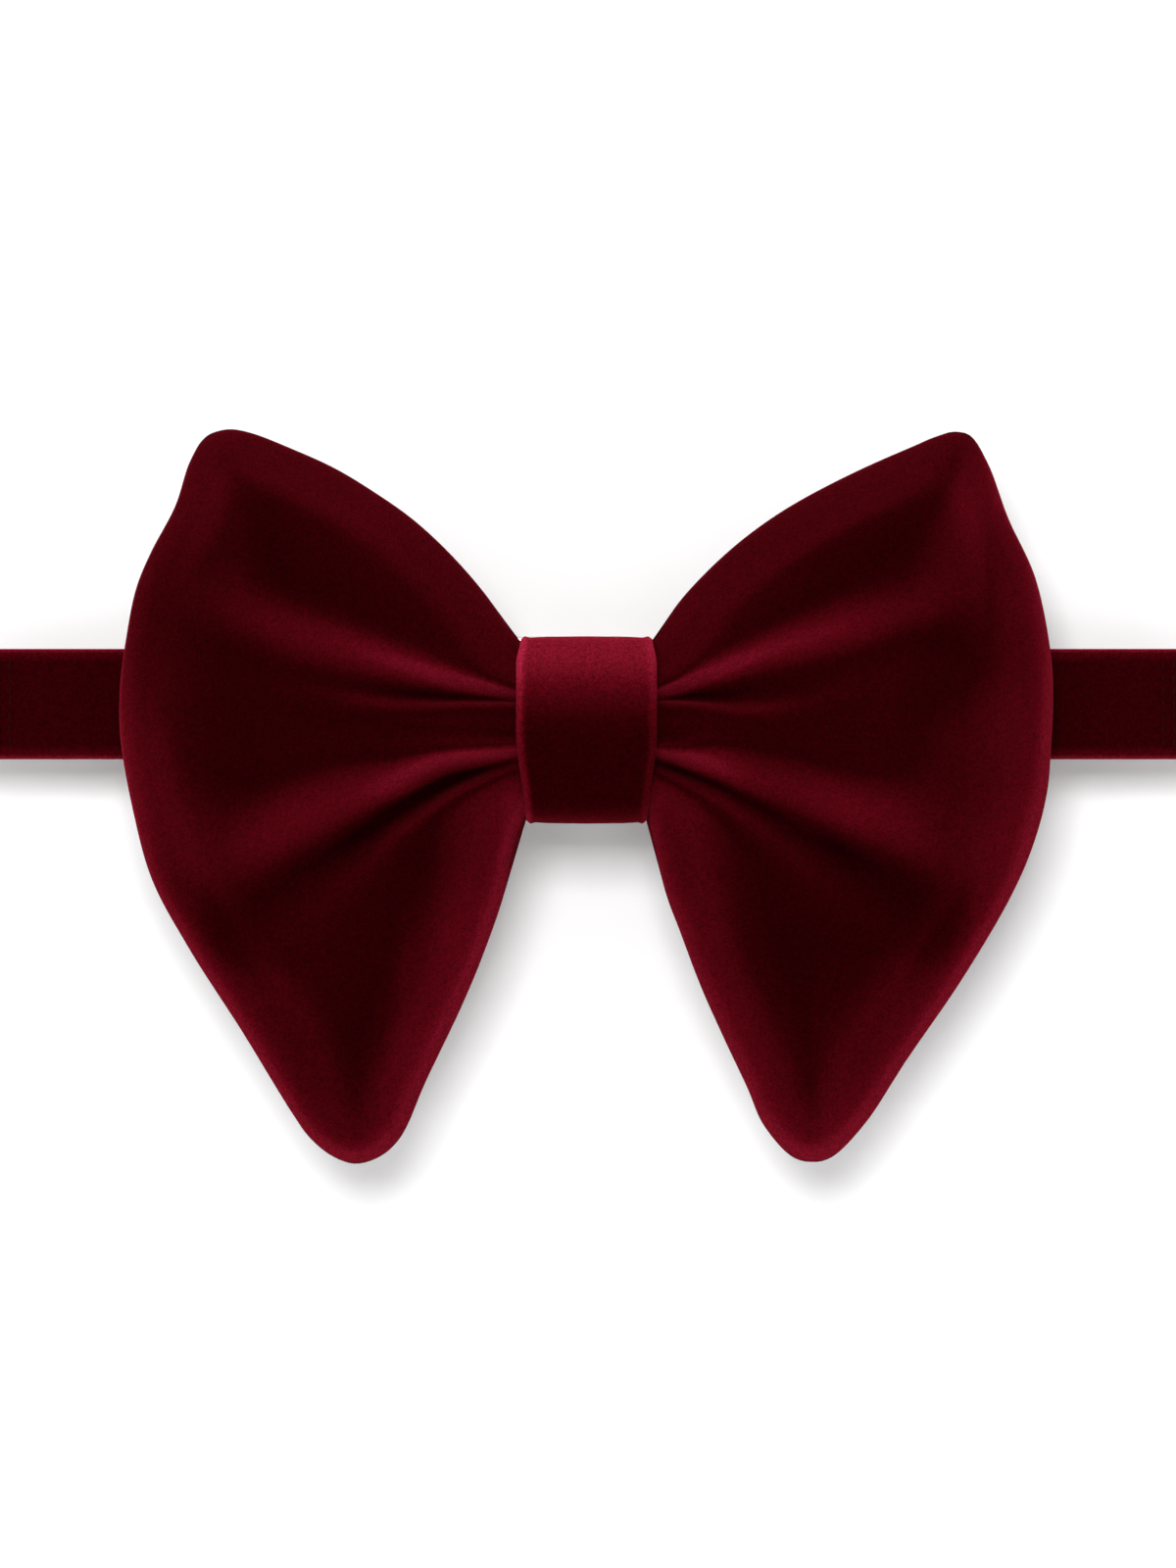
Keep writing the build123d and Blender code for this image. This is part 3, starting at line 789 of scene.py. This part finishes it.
def rounded_path(corners, radii):
    """Points and normals along a path of straight runs whose corners are arcs."""
    arc_step, straight_step, least_step = 0.35, 2.0, 1e-4
    corners = [np.array(c, float) for c in corners]
    points = [corners[0]]
    for before, corner, after, radius in zip(corners, corners[1:], corners[2:], radii):
        back = (before - corner) / np.linalg.norm(before - corner)
        on = (after - corner) / np.linalg.norm(after - corner)
        turn = math.pi - math.acos(np.clip(back @ on, -1, 1))
        reach = radius * math.tan(turn / 2)
        start = corner + back * reach
        inward = (back + on) / np.linalg.norm(back + on)
        centre = corner + inward * radius / math.cos(turn / 2)
        first = start - centre
        sense = np.sign(first[0] * -back[1] + first[1] * back[0])
        count = max(4, int(radius * turn / arc_step))
        for angle in np.linspace(0, turn, count):
            c, s = math.cos(angle), math.sin(angle) * sense
            points.append(centre + np.array([c * first[0] - s * first[1], s * first[0] + c * first[1]]))
    points.append(corners[-1])
    dense = [points[0]]
    for a, b in zip(points, points[1:]):
        length = np.linalg.norm(b - a)
        if length < least_step:
            continue
        parts = max(1, int(length / straight_step))
        dense += [a + (b - a) * k / parts for k in range(1, parts + 1)]
    dense = np.array(dense)
    ahead = np.gradient(dense, axis=0)
    ahead /= np.linalg.norm(ahead, axis=1)[:, None]
    return dense, np.stack([-ahead[:, 1], ahead[:, 0]], axis=1)


def band_section(width, thickness):
    """A flat band's cross-section with softly rounded edges, as (across the cloth, up)."""
    radius = thickness / 2
    ups = np.linspace(-width / 2 + radius, width / 2 - radius, 12)
    bend = np.linspace(-math.pi / 2, math.pi / 2, 7)[1:-1]
    front = [(-radius, up) for up in ups]
    top = [(radius * math.sin(b), ups[-1] + radius * math.cos(b)) for b in bend]
    rear = [(radius, up) for up in ups[::-1]]
    bottom = [(-radius * math.sin(b), ups[0] - radius * math.cos(b)) for b in bend]
    return np.array(front + top + rear + bottom)


def hollow_section(width, thickness, turned, recess):
    """A velvet ply with turned edges: a flat C whose open side is towards the lining."""
    solid = band_section(width, thickness)
    front = solid[solid[:, 0] <= 0]
    inner, slope = width / 2 - turned, 0.05
    keep = solid[np.abs(solid[:, 1]) > inner]
    rear = [(thickness / 2, inner), (thickness / 2 - recess, inner - slope)]
    rear += [(thickness / 2 - recess, -inner + slope), (thickness / 2, -inner)]
    top = keep[(keep[:, 0] > 0) & (keep[:, 1] > 0)]
    bottom = keep[(keep[:, 0] > 0) & (keep[:, 1] < 0)]
    front = front[np.argsort(front[:, 1])]
    top = top[np.argsort(top[:, 0])]
    bottom = bottom[np.argsort(-bottom[:, 0])]
    return np.vstack([front, top, rear, bottom])


def band_mesh(name, path, normals, section, material):
    """A strip of cloth on edge that follows a path in the X-Y plane."""
    rows, columns = len(path), len(section)
    points = np.zeros((rows, columns, 3))
    points[..., :2] = path[:, None, :] + normals[:, None, :] * section[None, :, :1]
    points[..., 2] = section[None, :, 1]
    faces = grid_faces(rows, columns, wrap_columns=True).tolist()
    faces.append(list(range(columns))[::-1])
    faces.append([(rows - 1) * columns + k for k in range(columns)])
    return make_mesh(name, points.reshape(-1, 3), faces, material)


def straight(low_x, high_x, y):
    """A straight path along X and its normals."""
    return rounded_path([(low_x, y), (high_x, y)], [])


def make_front_band():
    """The front run: velvet with turned edges, canvas and a satin lining on the collar side."""
    path, normals = straight(-FRONT_HALF_LENGTH, FRONT_HALF_LENGTH, -BAND_THICKNESS / 2)
    section = hollow_section(BAND_WIDTH, BAND_THICKNESS, TURNED_EDGE, LINING_RECESS)
    band = band_mesh("front_band", path, normals, section, VELVET)
    place(band, "neck_band", "velvet", "front_band_velvet")
    # Painted sheen: the velvet band is dark face on, with a painted highlight along both edges.
    face_on, edge_light, edge_width = 0.17, 0.45, 1.2
    near_edge = smoothstep(np.abs(section[:, 1]), BAND_WIDTH / 2 - edge_width, BAND_WIDTH / 2)
    paint_light_and_shade(band, np.repeat((face_on + edge_light * near_edge)[None], len(path), axis=0))
    layers = [
        ("front_band_stiffener", "front_band_canvas", "canvas", CANVAS),
        ("front_band_satin", "front_band_lining", "satin", SATIN),
    ]
    edge_gap, face_gap = 0.1, 0.04
    for name, node, slot, material in layers:
        low, high = box_mm(node)
        path, normals = straight(low[0], high[0], (low[1] + high[1]) / 2)
        section = band_section(high[2] - low[2] - edge_gap, high[1] - low[1] - face_gap)
        layer = band_mesh(name, path, normals, section, material)
        place(layer, "neck_band", slot, node)


def make_rear_bands():
    """The satin bands behind: each side bend, the folds round the wires and the sewn ends."""
    front_y = -BAND_THICKNESS / 2
    bend = (REAR_RUN_Y - front_y) / 2
    section = band_section(BAND_WIDTH, BAND_THICKNESS)
    leaves_bar, lies_flat, sewn_end = RING_BAR_X - 1.0, RING_BAR_X - 7.0, RING_BAR_X - 20.0
    routes = {
        "left_rear_band": [
            (-FRONT_HALF_LENGTH, front_y), (-FRONT_HALF_LENGTH - bend, front_y),
            (-FRONT_HALF_LENGTH - bend, REAR_RUN_Y), (RING_BAR_X + FOLD_RADIUS, REAR_RUN_Y),
            (RING_BAR_X + FOLD_RADIUS, INNER_LAYER_Y), (leaves_bar, INNER_LAYER_Y),
            (lies_flat, FOLDED_END_Y), (sewn_end, FOLDED_END_Y),
        ],
        "right_rear_band": [
            (FRONT_HALF_LENGTH, front_y), (FRONT_HALF_LENGTH + bend, front_y),
            (FRONT_HALF_LENGTH + bend, REAR_RUN_Y), (HOOK_BAR_X - FOLD_RADIUS, REAR_RUN_Y),
            (HOOK_BAR_X - FOLD_RADIUS, INNER_LAYER_Y), (INNER_LAYER_X[0], INNER_LAYER_Y),
        ],
    }
    ease = 0.02
    side, fold = bend - ease, FOLD_RADIUS - ease
    radii = [side, side, fold, fold, 1.5, 3.0]
    for node, corners in routes.items():
        path, normals = rounded_path(corners, radii[:len(corners) - 2])
        band = band_mesh(node.replace("rear_band", "rear_satin"), path, normals, section, SATIN)
        place(band, "neck_band", "satin", node)
    path, normals = straight(*INNER_LAYER_X, INNER_LAYER_Y)
    layer = band_mesh("inner_layer_satin", path, normals, section, SATIN)
    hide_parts("band_inner_layer")
    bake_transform(layer)
    outer_y, inner_y = INNER_LAYER_Y + TAIL_RADIUS, INNER_LAYER_Y - TAIL_RADIUS
    tail = [
        (INNER_LAYER_X[1], INNER_LAYER_Y), (ADJUSTER_X - 8.0, INNER_LAYER_Y),
        (ADJUSTER_X - 3.0, outer_y), (ADJUSTER_X + TAIL_RADIUS, outer_y),
        (ADJUSTER_X + TAIL_RADIUS, inner_y), (INNER_LAYER_X[1] + 1.5, inner_y),
    ]
    path, normals = rounded_path(tail, [4.0, 4.0, TAIL_RADIUS - ease, TAIL_RADIUS - ease])
    loop = band_mesh("tail_loop_satin", path, normals, section, SATIN)
    place(loop, "adjuster", "satin", "band_tail_loop")


def make_band_stitches():
    """The stitch rows at the joins, at the eye ring's fold and at the tail loop."""
    join_insets = (0.8, 2.6)
    joins = [side * (FRONT_HALF_LENGTH - inset) for side in (-1, 1) for inset in join_insets]
    rows = stitch_rows("join_seams", joins, -BAND_THICKNESS, (0, -1, 0), VELVET_THREAD)
    place(rows, "neck_band", "thread", "join_stitches")
    first_row_x, row_pitch, fold_rows = RING_BAR_X - 9.0, 3.0, 4
    fold = [first_row_x - row_pitch * row for row in range(fold_rows)]
    rear_face_y = REAR_RUN_Y + BAND_THICKNESS / 2
    rows = stitch_rows("ring_fold_seam", fold, rear_face_y, (0, 1, 0), THREAD)
    place(rows, "neck_band", "thread", "ring_fold_stitches")
    tail_y = INNER_LAYER_Y - TAIL_RADIUS - BAND_THICKNESS / 2
    ends = [INNER_LAYER_X[1] + row_pitch * row for row in (1, 2)]
    rows = stitch_rows("tail_seam", ends, tail_y, (0, -1, 0), THREAD)
    place(rows, "adjuster", "thread", "tail_stitches")


# ---------------------------------------------------------------- studio and camera

def make_studio():
    """A white sweep close behind the tie, the floor behind its wall and even light all round.

    The wall is clear from behind and casts no shadow, so that the tie's back can be seen and lit.
    """
    wall_y, wall_top, floor_z, turn = 0.0212, 1.6, -0.26, 0.12
    floor_end, half_width, steps = -9.0, 9.0, 12
    profile = [(wall_y, wall_top)]
    for step in range(steps + 1):
        angle = math.pi / 2 * step / steps
        profile.append((wall_y - turn * (1 - math.cos(angle)), floor_z + turn * (1 - math.sin(angle))))
    profile.append((floor_end, floor_z))
    points = [(x, y, z) for x in (-half_width, half_width) for y, z in profile]
    count = len(profile)
    faces = [(k, k + 1, count + k + 1, count + k) for k in range(count - 1)]
    under_z, under_start = floor_z - 0.0005, -0.3
    points += [(x, y, under_z) for y in (under_start, -floor_end) for x in (-half_width, half_width)]
    faces.append((2 * count, 2 * count + 1, 2 * count + 3, 2 * count + 2))
    mesh = bpy.data.meshes.new("sweep")
    mesh.from_pydata(points, [], faces)
    mesh.polygons.foreach_set("use_smooth", [True] * len(faces))
    sweep = bpy.data.objects.new("sweep", mesh)
    bpy.context.scene.collection.objects.link(sweep)
    paper, tree, principled = shader("paper", (0.86, 0.86, 0.86), 0.9)
    principled.inputs["Specular IOR Level"].default_value = 0.1
    back = tree.nodes.new("ShaderNodeNewGeometry")
    clear = tree.nodes.new("ShaderNodeBsdfTransparent")
    mix = tree.nodes.new("ShaderNodeMixShader")
    output = tree.nodes["Material Output"]
    tree.links.new(back.outputs["Backfacing"], mix.inputs["Fac"])
    tree.links.new(principled.outputs["BSDF"], mix.inputs[1])
    tree.links.new(clear.outputs["BSDF"], mix.inputs[2])
    tree.links.new(mix.outputs["Shader"], output.inputs["Surface"])
    mesh.materials.append(paper)
    sweep.visible_shadow = False
    world = bpy.data.worlds.new("studio")
    world.use_nodes = True
    world.node_tree.nodes["Background"].inputs["Color"].default_value = (1, 1, 1, 1)
    world.node_tree.nodes["Background"].inputs["Strength"].default_value = 0.42
    bpy.context.scene.world = world


def area_light(name, place, target, size, power):
    """A rectangular soft light that points at a target."""
    data = bpy.data.lights.new(name, "AREA")
    data.shape = "RECTANGLE"
    data.size, data.size_y = size
    data.energy = power
    lamp = bpy.data.objects.new(name, data)
    lamp.location = place
    direction = Vector(target) - Vector(place)
    lamp.rotation_mode = "QUATERNION"
    lamp.rotation_quaternion = direction.to_track_quat("-Z", "Y")
    bpy.context.scene.collection.objects.link(lamp)


def make_camera():
    """Straight at the tie's front, a little below the knot, from far enough to look flat."""
    data = bpy.data.cameras.new("camera")
    subject_y = WING_SEAM_Y * MM
    reach, frame_height, sensor = 1.5, 0.2688, 36
    aim_x, aim_z = 0.00025, -0.0138
    data.sensor_width = sensor
    data.lens = sensor * reach / frame_height
    camera = bpy.data.objects.new("camera", data)
    camera.location = (aim_x, subject_y - reach, aim_z)
    camera.rotation_euler = (math.pi / 2, 0, 0)
    bpy.context.scene.collection.objects.link(camera)
    bpy.context.scene.camera = camera
    bpy.context.scene.view_settings.view_transform = "Standard"


make_camera()
make_studio()
area_light("key", (-0.18, -2.4, 0.52), (0, 0, -0.02), (0.75, 0.60), 40)
area_light("top", (-0.25, -0.8, 1.2), (0, 0, 0), (0.9, 0.6), 8)
area_light("back", (-0.5, 1.4, 0.9), (0, 0, 0), (0.9, 0.9), 20)
make_bow()
make_knot()
make_front_band()
make_rear_bands()
make_band_stitches()
for node in ("eye_ring", "hook", "slide_adjuster"):
    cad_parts[node].data.materials.clear()
    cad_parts[node].data.materials.append(METAL)
